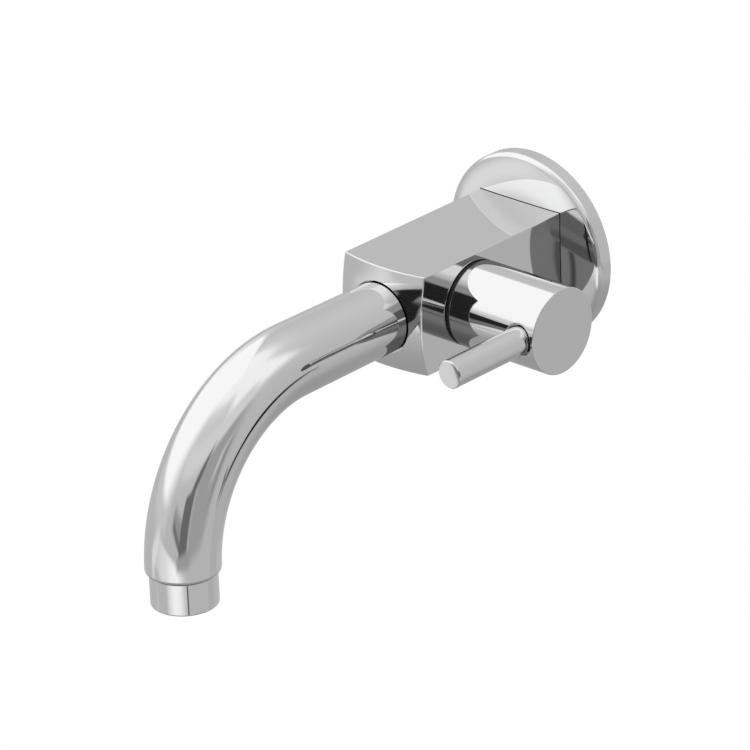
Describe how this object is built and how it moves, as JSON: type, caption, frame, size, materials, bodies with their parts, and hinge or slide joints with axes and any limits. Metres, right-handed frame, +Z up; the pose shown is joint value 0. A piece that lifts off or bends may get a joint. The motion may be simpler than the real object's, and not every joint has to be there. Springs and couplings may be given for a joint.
{
  "type": "wall sink tap",
  "caption": "Wall-mounted sink tap for one supply: square body with a domed front, bent round spout with aerator, and a side barrel handle whose pin lever turns a quarter-turn ceramic valve.",
  "frame": {"origin": "centre of the flange's wall face, on the axis of the inlet thread", "axes": "+Y into the wall along the inlet thread, -Y out over the sink, +Z up, +X towards the handle"},
  "size_m": [0.0953, 0.2194, 0.1072],
  "materials": {
    "chrome": "mirror-polished chrome plate",
    "brass": "turned, bare",
    "seal_rubber": "moulded, dull",
    "gasket_foam": "closed-cell foam",
    "washer_fibre": "pressed fibre",
    "ceramic": "lapped ceramic",
    "steel": "stainless, bright",
    "black_plastic": "moulded, satin",
    "white_plastic": "moulded, satin"
  },
  "bodies": {
    "tap": {"wall_flange": "chrome", "flange_gasket": "gasket_foam", "flange_ring": "seal_rubber", "inlet_nipple": "brass", "inlet_washer": "washer_fibre", "inlet_strainer": "steel", "valve_body": "chrome", "headwork_body": "brass", "headwork_ring": "seal_rubber", "seat_washer": "seal_rubber", "fixed_disc": "ceramic", "glide_ring": "black_plastic", "spout_tube": "chrome", "spout_spigot": "brass", "spout_rings": "seal_rubber", "spout_grub_screw": "steel", "nozzle_neck": "brass", "aerator_shell": "chrome", "aerator_washer": "seal_rubber", "aerator_insert": "white_plastic", "aerator_screen": "steel"},
    "handle_set": {"handle": "chrome", "lever_pin": "chrome", "handle_grub_screw": "steel", "spindle": "brass", "spindle_rings": "seal_rubber", "slip_washer": "white_plastic", "circlip": "steel", "moving_disc": "ceramic"}
  },
  "joints": [
    {"name": "handle_turn", "type": "hinge", "parent": "tap", "child": "handle_set", "pos_m": [0.0393, -0.0537, 0], "axis": [-1, 0, 0], "range_deg": [0, 90]}
  ]
}
